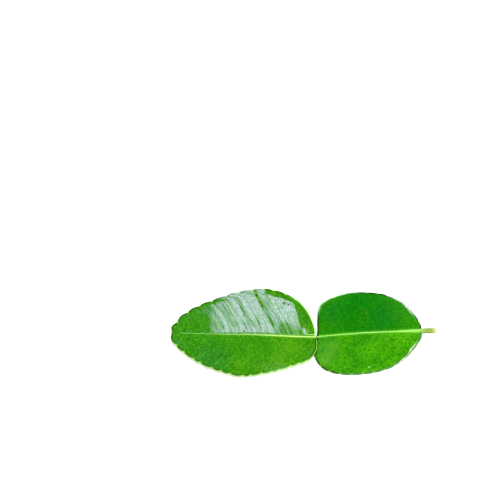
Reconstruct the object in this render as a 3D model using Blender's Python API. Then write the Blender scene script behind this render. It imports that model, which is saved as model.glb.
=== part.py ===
"""A kaffir lime leaf as picked, lying face up on a flat surface.

The leaf is two organs grown end to end. The leaf blade is jointed to its stalk, and the stalk carries
two wings that are nearly as broad as the blade, so the leaf is waisted like an hourglass. The stalk
ends in a short bare stub, where it was cut from the twig.

Lengths are in millimetres and start at the joint. X runs from the blade's tip to the stub, Y runs
across the leaf and Z is up from the surface that it lies on. "Far" is the +Y side and "near" the -Y
side. Each organ is a sheet of slanting rows, from the midrib to a scalloped margin, with an upper and
a lower face that are split into the same triangles.
"""

import math

import bpy

MM = 0.001

BLADE_LENGTH = 70.6
TIP_DENT = 70.2
WING_LENGTH = 51.0
STUB_LENGTH = 6.7
LAMINA = 0.64
JOINT_GAP = 0.34

# Each margin is a few points of (distance from the joint, distance from the midrib).
BLADE_FAR_MARGIN = [
    (0.17, 1.0), (0.3, 4.3), (2.0, 9.4), (4.2, 13.6), (8.0, 18.2), (15.0, 21.6), (24.0, 23.0),
    (36.0, 21.6), (47.5, 18.3), (57.5, 14.8), (65.0, 9.8), (69.3, 4.6), (70.6, 2.3), (70.2, 0.0),
]
BLADE_NEAR_MARGIN = [
    (0.17, 1.0), (-0.25, 3.7), (0.25, 7.5), (2.2, 11.0), (5.1, 13.9), (13.8, 17.7), (25.4, 21.7),
    (36.5, 23.5), (48.0, 20.5), (57.0, 16.3), (64.5, 10.8), (69.3, 5.8), (70.6, 2.6), (70.2, 0.0),
]
WING_FAR_MARGIN = [
    (0.17, 0.95), (0.5, 4.5), (0.7, 12.0), (1.7, 17.8), (4.9, 21.1), (10.0, 23.4), (17.5, 25.1),
    (28.0, 24.1), (36.0, 21.5), (43.0, 17.2), (48.2, 10.6), (50.5, 5.0), (51.0, 1.2),
]
WING_NEAR_MARGIN = [
    (0.17, 0.95), (0.7, 4.0), (0.25, 7.2), (-0.7, 9.4), (-0.4, 12.0), (1.3, 15.7), (4.3, 18.3),
    (9.5, 20.3), (17.0, 21.2), (27.0, 20.4), (35.5, 17.8), (42.5, 13.0), (48.0, 6.9), (50.4, 3.4),
    (51.0, 1.2),
]

# A scallop's length along the margin and its depth, by the joint and further out, and the length of
# the last one, which ends the margin. The blade's last two meet in a slight dent at its tip.
BLADE_FAR_SCALLOPS = {"lengths": (6.0, 7.4), "sway": 0.1, "depths": (0.12, 0.75), "last": 7.0}
BLADE_NEAR_SCALLOPS = {"lengths": (4.8, 5.2), "sway": 0.28, "depths": (0.3, 0.5), "last": 8.0}
WING_SCALLOPS = {"lengths": (5.5, 5.5), "sway": 0.0, "depths": (0.12, 0.12), "last": 5.5}
SWAY_TURN = 2.4

# The midrib lies on the surface under the blade and arches up to the stub. It also bends a little
# sideways, by these offsets.
KEEL_AT = 28.0
MIDRIB_LOW = 0.76
MIDRIB_AT_JOINT = 1.62
MIDRIB_AT_TIP = 2.9
MIDRIB_AT_STUB = 4.15
BLADE_SIDEWAYS = 1.9
WING_SIDEWAYS = 1.75

# The blade's halves rise from the midrib by these slopes. The far half is steeper, less so towards the
# tip, and curls down at its base; the near half droops at its margin. Both margins wave a little.
FAR_FOLD = 0.268
FAR_FOLD_LOST = 0.15
BASE_CURL = 0.9
NEAR_FOLD = 0.035
NEAR_DROOP = 0.25
WAVE_HEIGHT = 0.22
WAVE_ACROSS = 0.48
WAVE_ALONG = 9.0

# Where each wing's margin touches the surface, as a share of the wing's length, how fast it lifts on
# both sides of that and how far, and the width over which a wing leaves the stalk.
FAR_TOUCH = 0.2
NEAR_TOUCH = 0.42
FAR_LIFT = 9.0
NEAR_LIFT = 4.0
MOST_MARGIN_LIFT = 2.0
WING_LOBE = 12.0

# A rib's half width, how far it stands out on top, and its keel underneath, at the rib's thin end and
# by how much more at its thick end. The blade's rib thins to its tip, and the stalk thickens to the stub.
BLADE_RIB = {"half_width": (0.4, 0.6), "crest": (0.0, 0.16), "keel": (0.12, 0.8)}
STALK_RIB = {"half_width": (0.95, 0.25), "crest": (0.16, 0.72), "keel": (0.85, 0.05)}
RIB_PROFILE = ((-1.0, 0.0), (-0.6, 0.85), (0.0, 1.0), (0.6, 0.85), (1.0, 0.0))
RIB_CLEARANCE = 1.0

# How finely each organ is split: rows along it, columns across each half as shares of the way from rib
# to margin, and points to a scallop. A side vein is a low ridge below and a groove on top.
BLADE_ROWS = 44
WING_ROWS = 34
STUB_ROWS = 4
ROW_BUNCHING = 0.75
COLUMNS = (0.15, 0.36, 0.58, 0.77, 0.9)
FAR_SCALLOP_POINTS = 6
NEAR_SCALLOP_POINTS = 4
WING_SCALLOP_POINTS = 4
VEIN_EVERY = 5
VEIN_RIDGE = 0.12
VEIN_GROOVE = 0.05

BLADE_GREEN = (0.055, 0.29, 0.008, 1.0)
WING_GREEN = (0.045, 0.25, 0.006, 1.0)
WAXY = 0.35


def ease(start, end, value):
    """0 before start and 1 after end, with a smooth rise between them."""
    share = min(max((value - start) / (end - start), 0.0), 1.0)
    return share * share * (3.0 - 2.0 * share)


def midrib_height(x):
    """Height of the middle of the lamina at the midrib."""
    if x > 0.0:
        arch = 1.0 - (1.0 - min(x / WING_LENGTH, 1.0)) ** 2
        return MIDRIB_AT_JOINT + (MIDRIB_AT_STUB - MIDRIB_AT_JOINT) * arch
    beyond_keel = -x - KEEL_AT
    if beyond_keel < 0.0:
        return MIDRIB_LOW + (MIDRIB_AT_JOINT - MIDRIB_LOW) * (beyond_keel / KEEL_AT) ** 2
    share = beyond_keel / (BLADE_LENGTH - KEEL_AT)
    return MIDRIB_LOW + (MIDRIB_AT_TIP - MIDRIB_LOW) * share ** 2


def midrib_sideways(x):
    """How far the midrib bends to the +Y side."""
    if x > 0.0:
        return WING_SIDEWAYS * (1.0 - (1.0 - min(x / WING_LENGTH, 1.0)) ** 2)
    return BLADE_SIDEWAYS * (ease(-0.1, 0.5, -x / BLADE_LENGTH) - ease(-0.1, 0.5, 0.0))


def blade_rise(side, along, across, distance):
    """Height of the blade over its midrib: a shallow fold, steeper on the far side."""
    wave = WAVE_HEIGHT * math.sin(WAVE_ACROSS * distance + WAVE_ALONG * along + side) * across ** 3
    if side > 0:
        fold = FAR_FOLD - FAR_FOLD_LOST * ease(0.58, 0.9, along)
        base_curl = BASE_CURL * (1.0 - ease(0.22, 0.42, along)) * ease(0.68, 1.0, across)
        return fold * distance - base_curl + wave
    return NEAR_FOLD * distance - NEAR_DROOP * across ** 3 + wave


def wing_rise(side, along, across, distance):
    """Height of a wing over the midrib: it arches down, and its margin touches the surface once."""
    if side > 0:
        margin_lift = FAR_LIFT * (along - FAR_TOUCH) ** 2
        profile = across ** 2.6
    else:
        margin_lift = NEAR_LIFT * (along - NEAR_TOUCH) ** 2
        profile = 0.8 * across + 0.2 * across ** 3
    drop = midrib_height(along * WING_LENGTH) - LAMINA / 2 - min(margin_lift, MOST_MARGIN_LIFT)
    return -drop * profile * ease(-4.0, WING_LOBE, distance)


def smooth_curve(points, steps=10):
    """A smooth curve through the points, as many short chords."""
    ends = [points[0]] + list(points) + [points[-1]]
    curve = []
    for before, start, end, after in zip(ends, ends[1:], ends[2:], ends[3:]):
        for step in range(steps):
            t = step / steps
            curve.append(tuple(
                0.5 * (2.0 * b + (c - a) * t + (2.0 * a - 5.0 * b + 4.0 * c - d) * t ** 2
                       + (3.0 * b - a - 3.0 * c + d) * t ** 3)
                for a, b, c, d in zip(before, start, end, after)
            ))
    return curve + [points[-1]]


def lengths_along(curve):
    """Distance from the curve's start to each of its points."""
    lengths = [0.0]
    for start, end in zip(curve, curve[1:]):
        lengths.append(lengths[-1] + math.dist(start, end))
    return lengths


def at_length(curve, lengths, wanted):
    """Point of the curve at that distance along it, and the direction there."""
    index = 1
    while index < len(curve) - 1 and lengths[index] < wanted:
        index += 1
    start, end = curve[index - 1], curve[index]
    span = lengths[index] - lengths[index - 1]
    share = (wanted - lengths[index - 1]) / span
    point = tuple(a + (b - a) * share for a, b in zip(start, end))
    return point, ((end[0] - start[0]) / span, (end[1] - start[1]) / span)


def scalloped_margin(points, scallops, samples):
    """Points of a margin as (share of its length, smooth point, point pulled in at the notches)."""
    curve = smooth_curve(points)
    lengths = lengths_along(curve)
    total = lengths[-1]
    last_notch = total - scallops["last"]
    by_joint, outer = scallops["lengths"]
    notches = [0.0]
    while notches[-1] < last_notch:
        pitch = by_joint + (outer - by_joint) * ease(0.4, 0.6, notches[-1] / total)
        pitch *= 1.0 + scallops["sway"] * math.sin(SWAY_TURN * len(notches))
        notches.append(notches[-1] + pitch)
    notches = [notch * last_notch / notches[-1] for notch in notches] + [total]
    margin = []
    for start, end in zip(notches, notches[1:]):
        for sample in range(samples):
            length = start + (end - start) * sample / samples
            share = length / total
            point, direction = at_length(curve, lengths, length)
            depth = scallops["depths"][0] + (scallops["depths"][1] - scallops["depths"][0]) * share
            pull = ease(0.08, 0.22, share) * depth * (1.0 - math.sin(math.pi * sample / samples))
            notched = (point[0] + pull * direction[1], point[1] - pull * direction[0])
            margin.append((share, point, notched))
    return margin


class Sheet:
    """Points with an upper and a lower height, and the triangles that both faces share."""

    def __init__(self):
        self.points = []
        self.triangles = []

    def add(self, x, y, top, bottom):
        self.points.append((x, y, top, bottom))
        return len(self.points) - 1

    def zip(self, first, second):
        """Fills between two columns of (share, point), which may hold different numbers of points."""
        i = j = 0
        while i < len(first) - 1 or j < len(second) - 1:
            step_first = j == len(second) - 1 or (
                i < len(first) - 1 and first[i + 1][0] <= second[j + 1][0]
            )
            corners = [first[i][1], second[j][1], first[i + 1][1] if step_first else second[j + 1][1]]
            if step_first:
                i += 1
            else:
                j += 1
            if len(set(corners)) == 3:
                self.triangles.append(corners)

    def closed_faces(self):
        """Vertices and faces of the solid: both faces of the sheet, and a wall round its edge."""
        count = len(self.points)
        vertices = [(x, y, top) for x, y, top, _ in self.points]
        vertices += [(x, y, bottom) for x, y, _, bottom in self.points]
        upper = []
        for a, b, c in self.triangles:
            pa, pb, pc = self.points[a], self.points[b], self.points[c]
            turn = (pb[0] - pa[0]) * (pc[1] - pa[1]) - (pb[1] - pa[1]) * (pc[0] - pa[0])
            upper.append((a, b, c) if turn > 0 else (a, c, b))
        edges = {(a, b) for face in upper for a, b in zip(face, face[1:] + face[:1])}
        faces = list(upper)
        faces += [(a + count, c + count, b + count) for a, b, c in upper]
        for a, b in sorted(edges):
            if (b, a) not in edges:
                faces.append((a, a + count, b + count))
                faces.append((a, b + count, b))
        return vertices, faces


def rib_section(rib, thickness):
    """A rib's half width, crest and keel, from 0 at its thin end to 1 at its thick end."""
    return [thin + more * thickness for thin, more in (rib["half_width"], rib["crest"], rib["keel"])]


def rib_columns(sheet, shares, section, place, tip=None):
    """The midrib's five columns: foot, shoulder, crest, shoulder and foot, from -Y to +Y."""
    columns = []
    for offset, rise in RIB_PROFILE:
        column = []
        for share in shares:
            x, y, z = place(share)
            half_width, crest, keel = section(share)
            top = z + LAMINA / 2 + crest * rise
            bottom = max(z - LAMINA / 2 - keel * rise, 0.0)
            column.append((share, sheet.add(x, y + offset * half_width, top, bottom)))
        if tip is not None:
            column.append((1.0, tip))
        columns.append(column)
    for left, right in zip(columns, columns[1:]):
        sheet.zip(left, right)
    return columns


def lamina_side(sheet, side, foot, margin, rows, midrib_point, rise, direction, length, end):
    """One half of an organ, from the midrib's foot to the margin, zipped column by column.

    Its rows slant with the side veins, because they join equal shares of the midrib and the margin.
    """
    def on_leaf(point):
        x = direction * point[0]
        return x, midrib_sideways(x) + side * point[1]

    start = foot[0][1]
    margin = [entry for entry in margin if 1.0 / rows <= entry[0] <= 1.0 - 1.0 / rows]
    outline = [(0.0, sheet.points[start][:2])]
    outline += [(share, on_leaf(smooth)) for share, smooth, _ in margin]
    outline.append((1.0, sheet.points[end][:2]))

    def outline_point(share):
        index = 1
        while outline[index][0] < share:
            index += 1
        before, after = outline[index - 1], outline[index]
        part = (share - before[0]) / (after[0] - before[0])
        return [a + (b - a) * part for a, b in zip(before[1], after[1])]

    def added(share, across, x, y, vein):
        distance = abs(y - midrib_sideways(x))
        z = midrib_height(x) + rise(side, abs(x) / length, across, distance)
        fade = vein * (1.0 - across ** 2)
        top = z + LAMINA / 2 - VEIN_GROOVE * fade
        bottom = z - LAMINA / 2 - VEIN_RIDGE * fade
        return share, sheet.add(x, y, top, bottom)

    previous = foot
    for across in COLUMNS:
        column = [(0.0, start)]
        for row in range(1, rows):
            share = row / rows
            inner_x, inner_y, _ = midrib_point(share)
            inner_y += side * RIB_CLEARANCE
            outer_x, outer_y = outline_point(share)
            x = inner_x + (outer_x - inner_x) * across
            y = inner_y + (outer_y - inner_y) * across
            column.append(added(share, across, x, y, row % VEIN_EVERY == 0))
        column.append((1.0, end))
        sheet.zip(previous, column)
        previous = column
    edge = [(0.0, start)]
    edge += [added(share, 1.0, *on_leaf(notched), False) for share, _, notched in margin]
    edge.append((1.0, end))
    sheet.zip(previous, edge)


def make_object(name, sheet, colour):
    """The closed mesh of a sheet, in metres, with its material."""
    vertices, faces = sheet.closed_faces()
    mesh = bpy.data.meshes.new(name)
    mesh.from_pydata([tuple(value * MM for value in vertex) for vertex in vertices], [], faces)
    mesh.shade_smooth()
    mesh.set_sharp_from_angle(angle=math.radians(40.0))
    material = bpy.data.materials.new(name + "_green")
    material.use_nodes = True
    shader = material.node_tree.nodes["Principled BSDF"]
    shader.inputs["Base Color"].default_value = colour
    shader.inputs["Roughness"].default_value = WAXY
    shader.inputs["Metallic"].default_value = 0.0
    mesh.materials.append(material)
    leaf_part = bpy.data.objects.new(name, mesh)
    bpy.context.scene.collection.objects.link(leaf_part)
    return leaf_part


def leaf_blade():
    """The blade: ovate, blunt at its tip, folded along a midrib that thins out to nothing."""
    sheet = Sheet()

    def place(share):
        bunched = (1.0 - ROW_BUNCHING) * share + ROW_BUNCHING * share ** 2
        x = -JOINT_GAP / 2 - (TIP_DENT - JOINT_GAP / 2) * bunched
        return x, midrib_sideways(x), midrib_height(x)

    def section(share):
        return rib_section(BLADE_RIB, 1.0 - share ** 1.5)

    x, y, z = place(1.0)
    tip = sheet.add(x, y, z + LAMINA / 2, z - LAMINA / 2)
    ribs = rib_columns(sheet, [row / BLADE_ROWS for row in range(BLADE_ROWS)], section, place, tip)
    far = scalloped_margin(BLADE_FAR_MARGIN, BLADE_FAR_SCALLOPS, FAR_SCALLOP_POINTS)
    near = scalloped_margin(BLADE_NEAR_MARGIN, BLADE_NEAR_SCALLOPS, NEAR_SCALLOP_POINTS)
    for side, foot, margin in ((1, ribs[-1], far), (-1, ribs[0], near)):
        lamina_side(sheet, side, foot, margin, BLADE_ROWS, place, blade_rise, -1, BLADE_LENGTH, tip)
    return make_object("leaf_blade", sheet, BLADE_GREEN)


def winged_petiole():
    """The stalk with its two wings, and the bare stub that it ends in."""
    sheet = Sheet()

    def place(share):
        x = JOINT_GAP / 2 + (WING_LENGTH - JOINT_GAP / 2) * min(share, 1.0)
        x += STUB_LENGTH * max(share - 1.0, 0.0)
        return x, midrib_sideways(x), midrib_height(x)

    def section(share):
        return rib_section(STALK_RIB, ease(0.72, 1.05, share))

    shares = [row / WING_ROWS for row in range(WING_ROWS + 1)]
    shares += [1.0 + row / STUB_ROWS for row in range(1, STUB_ROWS + 1)]
    ribs = rib_columns(sheet, shares, section, place)
    for side, foot, points in ((1, ribs[-1], WING_FAR_MARGIN), (-1, ribs[0], WING_NEAR_MARGIN)):
        winged = foot[:WING_ROWS + 1]
        end = winged[-1][1]
        margin = scalloped_margin(points, WING_SCALLOPS, WING_SCALLOP_POINTS)
        lamina_side(sheet, side, winged, margin, WING_ROWS, place, wing_rise, 1, WING_LENGTH, end)
    return make_object("winged_petiole", sheet, WING_GREEN)


def centre_over_origin(parts):
    """Moves the parts together, so that the middle of the leaf's outline is over the origin."""
    corners = [vertex.co for part in parts for vertex in part.data.vertices]
    for axis in (0, 1):
        values = [corner[axis] for corner in corners]
        middle = (min(values) + max(values)) / 2
        for part in parts:
            part.location[axis] = -middle


for old in list(bpy.data.objects):
    bpy.data.objects.remove(old, do_unlink=True)
centre_over_origin([leaf_blade(), winged_petiole()])
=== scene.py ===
"""The looks of one kaffir lime leaf as picked, lying face up on a white surface.

Leaf lengths are in millimetres from the joint between blade and stalk. X runs from the blade's tip to
the cut stub, Y runs across the leaf and Z is up. "Far" is the +Y half and "near" the -Y half.
"""

import math

import bmesh
import bpy
import numpy as np
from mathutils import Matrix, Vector


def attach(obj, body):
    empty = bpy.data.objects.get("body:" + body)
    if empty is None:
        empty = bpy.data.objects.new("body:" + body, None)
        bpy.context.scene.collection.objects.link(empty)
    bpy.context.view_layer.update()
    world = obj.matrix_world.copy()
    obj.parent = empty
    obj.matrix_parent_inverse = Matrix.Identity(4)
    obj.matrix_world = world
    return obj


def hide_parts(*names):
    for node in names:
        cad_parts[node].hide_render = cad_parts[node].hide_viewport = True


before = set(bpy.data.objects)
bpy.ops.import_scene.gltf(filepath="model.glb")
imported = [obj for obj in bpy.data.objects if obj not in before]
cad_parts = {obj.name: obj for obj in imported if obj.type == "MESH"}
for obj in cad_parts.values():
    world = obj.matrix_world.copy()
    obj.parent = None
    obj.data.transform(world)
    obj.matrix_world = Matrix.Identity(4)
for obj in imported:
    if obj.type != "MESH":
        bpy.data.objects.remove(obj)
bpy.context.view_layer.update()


# The camera, well above the leaf and in front of it, with a long lens. It is aimed so that the leaf's
# joint lands where it does in the picture.
MM = 0.001
JOINT_PLACE = Vector((0.0064022, -0.0022076, 0.0))
JOINT_TOP = 2.1
LENS = 100.0
SENSOR = 36.0
PICTURE_PIXELS = 500
MM_PER_PIXEL = 0.483
JOINT_PIXEL = (316.5, 336.4)
AXIS_ELEVATION = math.radians(56.5)

view_right = Vector((1.0, 0.0, 0.0))
view_up = Vector((0.0, math.sin(AXIS_ELEVATION), math.cos(AXIS_ELEVATION)))
view_forward = Vector((0.0, math.cos(AXIS_ELEVATION), -math.sin(AXIS_ELEVATION)))
camera_distance = MM_PER_PIXEL * PICTURE_PIXELS * LENS / SENSOR
joint_right = (JOINT_PIXEL[0] - PICTURE_PIXELS / 2) * MM_PER_PIXEL
joint_down = (JOINT_PIXEL[1] - PICTURE_PIXELS / 2) * MM_PER_PIXEL
camera_offset = view_up * joint_down - view_right * joint_right - view_forward * camera_distance


def in_scene(name, data):
    """A new object in the scene."""
    made = bpy.data.objects.new(name, data)
    bpy.context.scene.collection.objects.link(made)
    return made


optics = bpy.data.cameras.new("camera")
optics.lens = LENS
optics.sensor_width = SENSOR
optics.clip_start = 0.01
camera = in_scene("camera", optics)
camera.location = JOINT_PLACE + Vector((0.0, 0.0, JOINT_TOP * MM)) + camera_offset * MM
camera.rotation_euler = (math.pi / 2 - AXIS_ELEVATION, 0.0, 0.0)
bpy.context.scene.camera = camera


# The table that the leaf lies on: a sheet of matt opal acrylic, lit faintly from below so that shadows
# stay pale, and wide enough to fill every view.
FLOOR_HALF = 3.0
FLOOR_WHITE = (0.93, 0.93, 0.93, 1.0)
FLOOR_SHADE = (0.9, 0.905, 0.91, 1.0)
FLOOR_GLOW = 0.3
FLOOR_CLOUDS = 40.0


def add(tree, kind, inputs=None, **settings):
    """A new node with these settings. Its inputs are values or sockets of other nodes."""
    made = tree.nodes.new(kind)
    for name, value in settings.items():
        setattr(made, name, value)
    for key, value in (inputs or {}).items():
        if isinstance(value, bpy.types.NodeSocket):
            tree.links.new(value, made.inputs[key])
        else:
            made.inputs[key].default_value = value
    return made


def blended(tree, share, first, second):
    """The colour between two others, by a share from 0 to 1."""
    mix = add(tree, "ShaderNodeMix", {0: share, 6: first, 7: second}, data_type="RGBA")
    return mix.outputs[2]


def counted(tree, operation, first, second=0.0, clamp=False):
    """One sum of two numbers or sockets."""
    return add(tree, "ShaderNodeMath", {0: first, 1: second}, operation=operation, use_clamp=clamp).outputs[0]


def noise(tree, place, scale, detail):
    """A soft noise over the places, from 0 to 1."""
    made = add(tree, "ShaderNodeTexNoise", {"Vector": place, "Scale": scale, "Detail": detail})
    return made.outputs["Fac"]


def new_material(name):
    """A material, its empty tree, and the place of each point on the object."""
    material = bpy.data.materials.new(name)
    material.use_nodes = True
    tree = material.node_tree
    tree.nodes.clear()
    return material, tree, add(tree, "ShaderNodeTexCoord").outputs["Object"]


def finish_material(tree, values, height=None, strength=1.0, depth=1.0):
    """Joins a shader with these values, and a bump this many millimetres deep, to the output."""
    if height:
        bump = add(tree, "ShaderNodeBump", {"Height": height, "Strength": strength, "Distance": depth * MM})
        values["Normal"] = bump.outputs[0]
    shader = add(tree, "ShaderNodeBsdfPrincipled", values)
    add(tree, "ShaderNodeOutputMaterial", {"Surface": shader.outputs[0]})


floor_mesh = bpy.data.meshes.new("table_top")
floor_corners = [(x * FLOOR_HALF, y * FLOOR_HALF, 0.0) for x, y in ((-1, -1), (1, -1), (1, 1), (-1, 1))]
floor_mesh.from_pydata(floor_corners, [], [(0, 1, 2, 3)])
floor = in_scene("table_top", floor_mesh)
acrylic, tree, place = new_material("opal_acrylic")
white = blended(tree, noise(tree, place, FLOOR_CLOUDS, 3.0), FLOOR_WHITE, FLOOR_SHADE)
finish_material(tree, {
    "Base Color": white, "Roughness": 0.9, "Specular IOR Level": 0.0,
    "Emission Color": white, "Emission Strength": FLOOR_GLOW,
})
floor_mesh.materials.append(acrylic)


# The light of a plain studio: a long softbox overhead, whose reflection is the gloss on the folded half,
# weaker lights from the back right and the front, and three small ones that make a sheen and the glints on
# the wings' rolled edges. The room is dark, with pale walls low down. Only the softbox looks straight down.
LIGHTS = (
    ("overhead_softbox", (-0.09, 0.0, 0.6), (0.34, 0.24), 4.6, (0.77, 0.7, 1.0)),
    ("back_light", (0.5, 0.42, 0.5), (0.25, 0.25), 1.8, (1.0, 1.0, 0.95)),
    ("front_light", (0.1, -0.6, 0.5), (0.5, 0.5), 2.2, (1.0, 1.0, 0.64)),
    ("sheen_light", (-0.03, 0.225, 0.6), (0.09, 0.05), 0.06, (1.0, 1.0, 1.0)),
    ("near_glint_light", (0.47, -0.2, 0.56), (0.1, 0.1), 1.0, (1.0, 1.0, 1.0)),
    ("far_glint_light", (0.21, 0.68, 0.27), (0.46, 0.12), 2.9, (1.0, 1.0, 1.0)),
)
WALL_TOP = math.sin(math.radians(25.0))
DARK_FROM = math.sin(math.radians(45.0))
WALL_WHITE = (1.0, 1.0, 0.9, 1.0)
CEILING_DARK = (0.012, 0.014, 0.016, 1.0)


def faded(tree, value, start, end, low=0.0, high=1.0):
    """A number that eases from low at start to high at end."""
    return add(tree, "ShaderNodeMapRange", {
        "Value": value, "From Min": start, "From Max": end, "To Min": low, "To Max": high,
    }, interpolation_type="SMOOTHSTEP").outputs[0]


for name, at, size, watts, tint in LIGHTS:
    light = bpy.data.lights.new(name, "AREA")
    light.shape = "RECTANGLE"
    light.size, light.size_y = size
    light.energy = watts
    light.color = tint
    lamp = in_scene(name, light)
    lamp.location = at
    if name != "overhead_softbox":
        lamp.rotation_euler = (-Vector(at)).to_track_quat("-Z", "Y").to_euler()

room = bpy.data.worlds.new("room")
room.use_nodes = True
tree = room.node_tree
tree.nodes.clear()
direction = add(tree, "ShaderNodeTexCoord").outputs["Generated"]
height = add(tree, "ShaderNodeSeparateXYZ", {0: direction}).outputs["Z"]
above_wall = faded(tree, height, WALL_TOP, DARK_FROM)
sky = add(tree, "ShaderNodeBackground", {"Color": blended(tree, above_wall, WALL_WHITE, CEILING_DARK)})
add(tree, "ShaderNodeOutputWorld", {"Surface": sky.outputs[0]})
bpy.context.scene.world = room
bpy.context.scene.view_settings.view_transform = "Standard"


# The blade, the leaf's outer organ: one thin leathery sheet, grown and not made, ovate with a blunt tip
# and a scalloped edge. Its far half is folded up along the midrib, and its side veins are sunk on top.
BLADE_LENGTH = 70.6
TIP_DENT = 70.2
WING_LENGTH = 51.0
HALF_GAP = 0.17
LAMINA_ABOVE = 0.06
LAMINA_BELOW = 0.32
KEEL_AT = 28.0
MIDRIB_LOW = 0.76
MIDRIB_AT_JOINT = 1.62
MIDRIB_AT_TIP = 2.9
MIDRIB_AT_STUB = 4.15
BLADE_SIDEWAYS = 1.9
WING_SIDEWAYS = 1.75
BLADE_MARGINS = {
    1: [(0.17, 0.6), (0.3, 4.3), (2.0, 9.4), (4.2, 13.6), (8.0, 18.2), (15.0, 21.6), (24.0, 23.0),
        (36.0, 21.6), (47.5, 18.3), (57.5, 14.8), (65.0, 9.8), (69.3, 4.6), (70.6, 2.3), (70.2, 0.0)],
    -1: [(0.17, 0.6), (-0.25, 3.7), (0.25, 7.5), (2.2, 11.0), (5.1, 13.9), (13.8, 17.7), (25.4, 21.7),
         (36.5, 23.5), (48.0, 20.5), (57.0, 16.3), (64.5, 10.8), (69.3, 5.8), (70.6, 2.6), (70.2, 0.0)],
}
# Scallops by the joint and further out: their lengths along the margin, how much these vary, their depths,
# and the length of the last one.
BLADE_SCALLOPS = {
    1: dict(lengths=(6.0, 7.4), sway=0.1, depths=(0.12, 0.75), last=7.0),
    -1: dict(lengths=(4.8, 5.2), sway=0.28, depths=(0.3, 0.5), last=8.0),
}
SWAY_TURN = 2.4
NOTCH_REACH = 0.55
BLADE_VEINS = {
    1: (3.0, 8.5, 14.5, 20.5, 26.0, 33.0, 38.0, 43.0, 48.5, 53.5, 58.0, 62.5),
    -1: (4.0, 9.5, 15.0, 21.0, 27.5, 32.5, 37.5, 43.5, 48.5, 53.5, 58.5, 63.0),
}
# Places on the skin as (x, y, radius): the olive line and the dark pits of a wound, patches where the green
# is more olive, and cooler and lighter patches that are painted sheen. SPOT_KINDS has each kind's strength
# and sharpness.
SPOT_KINDS = {"cool": (0.8, 2), "olive": (0.7, 2), "light": (0.36, 2), "speck": (1.0, 4), "pit_and_shade": (1.0, 4)}
BLADE_SPOTS = {
    "speck": ((-29.6, 22.6, 1.0), (-29.1, 21.4, 1.0), (-28.5, 20.2, 1.0), (-27.9, 19.0, 1.0),
              (-27.3, 17.8, 1.05), (-26.6, 16.6, 1.05), (-26.0, 15.4, 0.9), (-25.6, 14.3, 0.6),
              (-15.2, 16.8, 0.8), (-13.5, 16.2, 0.6)),
    "pit_and_shade": ((-28.9, 21.0, 0.5), (-27.2, 17.4, 0.5), (-26.3, 15.9, 0.5), (-25.9, 14.8, 0.4),
            (-15.9, 16.9, 0.45), (-14.7, 17.1, 0.4), (-13.5, 16.2, 0.45), (-35.0, 3.4, 0.4)),
    "cool": ((-50.5, -12.0, 7.0),),
    "olive": ((-38.0, -16.5, 4.0), (-26.5, -17.0, 4.5), (-17.5, -14.5, 3.5)),
    "light": ((-13.0, -6.0, 4.0), (-18.5, -11.0, 3.2)),
}
# Where the far half's skin is dull: in a band along the edge by the joint, as (share of the length, width),
# and along side veins, as (start on the midrib, width, strength).
DULL_BAND = ((0.0, 7.6), (0.1, 7.6), (0.118, 6.3), (0.132, 5.5), (0.144, 4.1), (0.166, 2.0), (0.178, 1.0),
             (0.215, 2.2), (0.257, 3.3), (0.284, 3.2), (0.318, 2.5), (0.352, 0.8), (0.37, -0.6))
DULL_VEINS = ((18.6, 1.0, 0.6), (15.5, 2.2, 0.2), (25.5, 0.5, 0.3), (29.5, 1.2, 0.5), (33.0, 0.3, 0.4),
              (38.5, 1.5, 0.55), (44.2, 1.6, 0.6))
FAR_FOLD = 0.268
FAR_FOLD_LOST = 0.15
BASE_CURL = 0.9
NEAR_FOLD = 0.035
NEAR_DROOP = 0.25
WAVE = 0.22
BLADE_ROWS = 320
SHEET_COLUMNS = 52
ROW_BUNCHING = 0.75
VEIN_STEP = 0.6
VEIN_WIDTH = 0.42
VEIN_END = 0.94
VEIN_WEIGHTS = (1.0, 0.6)
FAR_AWAY = 99.0


def ease(start, end, value):
    """0 before start and 1 after end, with a smooth rise between them."""
    share = np.clip((value - start) / (end - start), 0.0, 1.0)
    return share * share * (3.0 - 2.0 * share)


def midrib_height(x):
    """Height of the middle of the lamina at the midrib."""
    arch = 1.0 - (1.0 - np.clip(x / WING_LENGTH, 0.0, 1.0)) ** 2
    over_wings = MIDRIB_AT_JOINT + (MIDRIB_AT_STUB - MIDRIB_AT_JOINT) * arch
    beyond_keel = -x - KEEL_AT
    to_joint = MIDRIB_LOW + (MIDRIB_AT_JOINT - MIDRIB_LOW) * (beyond_keel / KEEL_AT) ** 2
    to_tip = MIDRIB_LOW + (MIDRIB_AT_TIP - MIDRIB_LOW) * (beyond_keel / (BLADE_LENGTH - KEEL_AT)) ** 2
    return np.where(x > 0.0, over_wings, np.where(beyond_keel < 0.0, to_joint, to_tip))


def midrib_sideways(x):
    """How far the midrib bends to the +Y side."""
    along_wings = WING_SIDEWAYS * (1.0 - (1.0 - np.clip(x / WING_LENGTH, 0.0, 1.0)) ** 2)
    along_blade = BLADE_SIDEWAYS * (ease(-0.1, 0.5, -x / BLADE_LENGTH) - ease(-0.1, 0.5, 0.0))
    return np.where(x > 0.0, along_wings, along_blade)


def blade_rise(side, along, across, distance):
    """Height of the blade over its midrib: a shallow fold, steeper on the far side."""
    calm = 0.7 * ease(0.3, 0.42, along) * (1.0 - ease(0.62, 0.78, along)) if side > 0 else 0.0
    wave = WAVE * (1.0 - calm) * np.sin(0.48 * distance + 9.0 * along + side) * across ** 3
    if side > 0:
        fold = FAR_FOLD - FAR_FOLD_LOST * ease(0.58, 0.9, along)
        base_curl = BASE_CURL * (1.0 - ease(0.22, 0.42, along)) * ease(0.8, 1.0, across)
        return fold * distance - base_curl + wave
    return NEAR_FOLD * distance - NEAR_DROOP * across ** 3 + wave


def blade_halo(along, distance):
    """How pale the blade is beside its midrib."""
    return 0.6 * (1.0 - ease(0.1, 0.85, along)) * np.exp(-(distance / 0.6) ** 2)


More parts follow.
